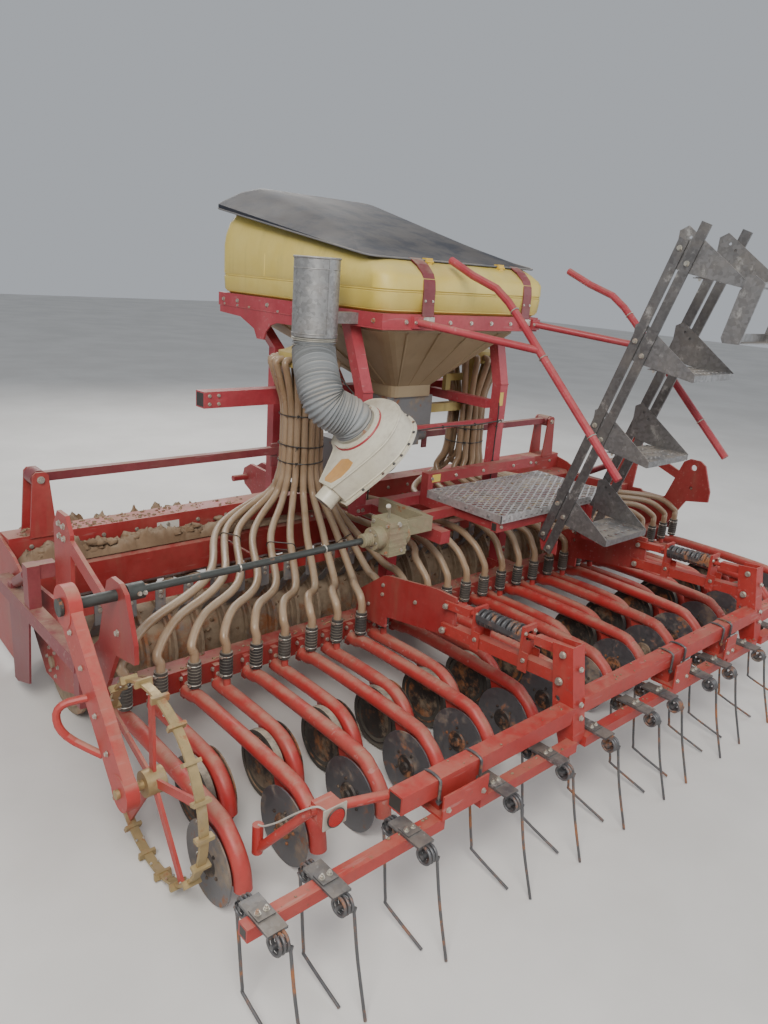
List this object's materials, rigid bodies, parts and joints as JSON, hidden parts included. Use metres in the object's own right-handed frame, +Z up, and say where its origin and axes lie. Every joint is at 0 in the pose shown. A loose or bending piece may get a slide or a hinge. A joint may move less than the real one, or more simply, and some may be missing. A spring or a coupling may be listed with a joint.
{
  "type": "mounted pneumatic seed drill with power harrow",
  "caption": "Rear mounted air seed drill on a power harrow and packer roller, with disc coulters, a following tine harrow and its boarding ladder folded up.",
  "frame": {"origin": "centre of the bounding box in plan, on the ground the roller, discs and wheel stand on", "axes": "+X to the machine's right across its working width, +Y along travel towards the tractor, +Z up"},
  "size_m": [4.373, 3.0689, 2.2845],
  "materials": {
    "red_paint": "satin, faded",
    "dark_paint": "satin, faded",
    "soil_steel": "worn, soil stained",
    "bare_steel": "worn",
    "zinc": "galvanised",
    "cast": "rough",
    "rubber_black": "matt",
    "tank_yellow": "moulded",
    "lid_blue": "moulded",
    "funnel_tan": "moulded",
    "hose_tan": "translucent, ribbed",
    "hose_grey": "ribbed",
    "fan_cream": "gloss, dusty",
    "head_yellow": "moulded"
  },
  "bodies": {
    "chassis": {"harrow_trough": "red_paint", "rotor_tines": "soil_steel", "headstock": "red_paint", "gearbox": "cast", "packer_frame": "red_paint", "end_frames": "dark_paint", "coulter_bar": "red_paint", "arms_long": "red_paint", "arms_short": "red_paint", "boots": "rubber_black", "hopper_frame": "red_paint", "tank": "tank_yellow", "tank_funnel": "funnel_tan", "metering_unit": "cast", "distributors": "head_yellow", "fan_housing": "fan_cream", "intake_duct": "zinc", "platform": "zinc", "platform_frame": "red_paint", "handrails": "red_paint", "gear_drive": "bare_steel", "ladder_bracket": "red_paint", "fan_hose": "hose_grey", "hoses_left": "hose_tan", "hoses_right": "hose_tan"},
    "lid": {"lid": "lid_blue"},
    "ladder_bars": {"ladder_bars": "zinc"},
    "ladder_links": {"ladder_links": "zinc"},
    "ladder_step_1": {"ladder_step_1": "zinc"},
    "ladder_step_2": {"ladder_step_2": "zinc"},
    "ladder_step_3": {"ladder_step_3": "zinc"},
    "ladder_step_4": {"ladder_step_4": "zinc", "ladder_tail": "zinc"},
    "harrow_links_lower": {"harrow_links_lower": "red_paint"},
    "harrow_links_upper": {"harrow_links_upper": "red_paint"},
    "tine_harrow": {"harrow_rack": "red_paint", "tines": "zinc"},
    "packer_roller": {"packer_roller": "soil_steel"},
    "rear_discs": {"discs_rear": "bare_steel"},
    "front_discs": {"discs_front": "bare_steel", "wheels_front": "rubber_black"},
    "wheel_arm": {"wheel_arm": "red_paint"},
    "drive_wheel": {"drive_wheel": "bare_steel"},
    "marker_left": {"marker_arm_left": "dark_paint"},
    "marker_right": {"marker_arm_right": "dark_paint"}
  },
  "joints": [
    {"name": "lid_hinge", "type": "hinge", "parent": "chassis", "child": "lid", "pos_m": [0.0775, 1.52239, 2.15], "axis": [-1, 0, 0], "range_deg": [0, 70]},
    {"name": "ladder_swing", "type": "hinge", "parent": "chassis", "child": "ladder_bars", "pos_m": [0.0775, -0.43961, 0.6], "axis": [1, 0, 0], "range_deg": [0, 64]},
    {"name": "ladder_links_swing", "type": "hinge", "parent": "chassis", "child": "ladder_links", "pos_m": [0.0775, -0.39561, 0.661], "axis": [1, 0, 0], "range_deg": [0, 64]},
    {"name": "ladder_step_1_level", "type": "hinge", "parent": "ladder_bars", "child": "ladder_step_1", "pos_m": [0.0775, -0.50084, 0.77986], "axis": [1, 0, 0], "range_deg": [-64, 0]},
    {"name": "ladder_step_2_level", "type": "hinge", "parent": "ladder_bars", "child": "ladder_step_2", "pos_m": [0.0775, -0.64586, 1.20586], "axis": [1, 0, 0], "range_deg": [-64, 0]},
    {"name": "ladder_step_3_level", "type": "hinge", "parent": "ladder_bars", "child": "ladder_step_3", "pos_m": [0.0775, -0.78444, 1.61292], "axis": [1, 0, 0], "range_deg": [-64, 0]},
    {"name": "ladder_step_4_level", "type": "hinge", "parent": "ladder_bars", "child": "ladder_step_4", "pos_m": [0.0775, -0.91979, 2.01051], "axis": [1, 0, 0], "range_deg": [-64, 0]},
    {"name": "harrow_lift", "type": "hinge", "parent": "chassis", "child": "harrow_links_lower", "pos_m": [0.0775, -0.67961, 0.5], "axis": [-1, 0, 0], "range_deg": [-6, 10]},
    {"name": "harrow_upper_swing", "type": "hinge", "parent": "chassis", "child": "harrow_links_upper", "pos_m": [0.0775, -0.67961, 0.605], "axis": [-1, 0, 0], "range_deg": [-6, 10]},
    {"name": "harrow_level", "type": "hinge", "parent": "harrow_links_lower", "child": "tine_harrow", "pos_m": [0.0775, -1.26461, 0.54], "axis": [-1, 0, 0], "range_deg": [-10, 6]},
    {"name": "roller_spin", "type": "hinge", "parent": "chassis", "child": "packer_roller", "pos_m": [0.0775, 0.38039, 0.24], "axis": [1, 0, 0], "continuous": true},
    {"name": "rear_disc_spin", "type": "hinge", "parent": "chassis", "child": "rear_discs", "pos_m": [0.0775, -0.90961, 0.135], "axis": [1, 0, 0], "continuous": true},
    {"name": "front_disc_spin", "type": "hinge", "parent": "chassis", "child": "front_discs", "pos_m": [0.0775, -0.58961, 0.135], "axis": [1, 0, 0], "continuous": true},
    {"name": "wheel_arm_swing", "type": "hinge", "parent": "chassis", "child": "wheel_arm", "pos_m": [-2.0555, -0.29461, 0.793], "axis": [-1, 0, 0], "range_deg": [-8, 30]},
    {"name": "wheel_spin", "type": "hinge", "parent": "wheel_arm", "child": "drive_wheel", "pos_m": [-1.9665, -0.69961, 0.335], "axis": [1, 0, 0], "continuous": true},
    {"name": "marker_left_fold", "type": "hinge", "parent": "chassis", "child": "marker_left", "pos_m": [-1.7675, 0.86539, 0.905], "axis": [0, -1, 0], "range_deg": [0, 120]},
    {"name": "marker_right_fold", "type": "hinge", "parent": "chassis", "child": "marker_right", "pos_m": [1.9225, 0.86539, 0.905], "axis": [0, 1, 0], "range_deg": [0, 120]}
  ],
  "couplings": [
    {"joint": "ladder_links_swing", "follows": "ladder_swing", "ratio": 1},
    {"joint": "ladder_step_1_level", "follows": "ladder_swing", "ratio": -1},
    {"joint": "ladder_step_2_level", "follows": "ladder_swing", "ratio": -1},
    {"joint": "ladder_step_3_level", "follows": "ladder_swing", "ratio": -1},
    {"joint": "ladder_step_4_level", "follows": "ladder_swing", "ratio": -1},
    {"joint": "harrow_upper_swing", "follows": "harrow_lift", "ratio": 1},
    {"joint": "harrow_level", "follows": "harrow_lift", "ratio": -1}
  ]
}
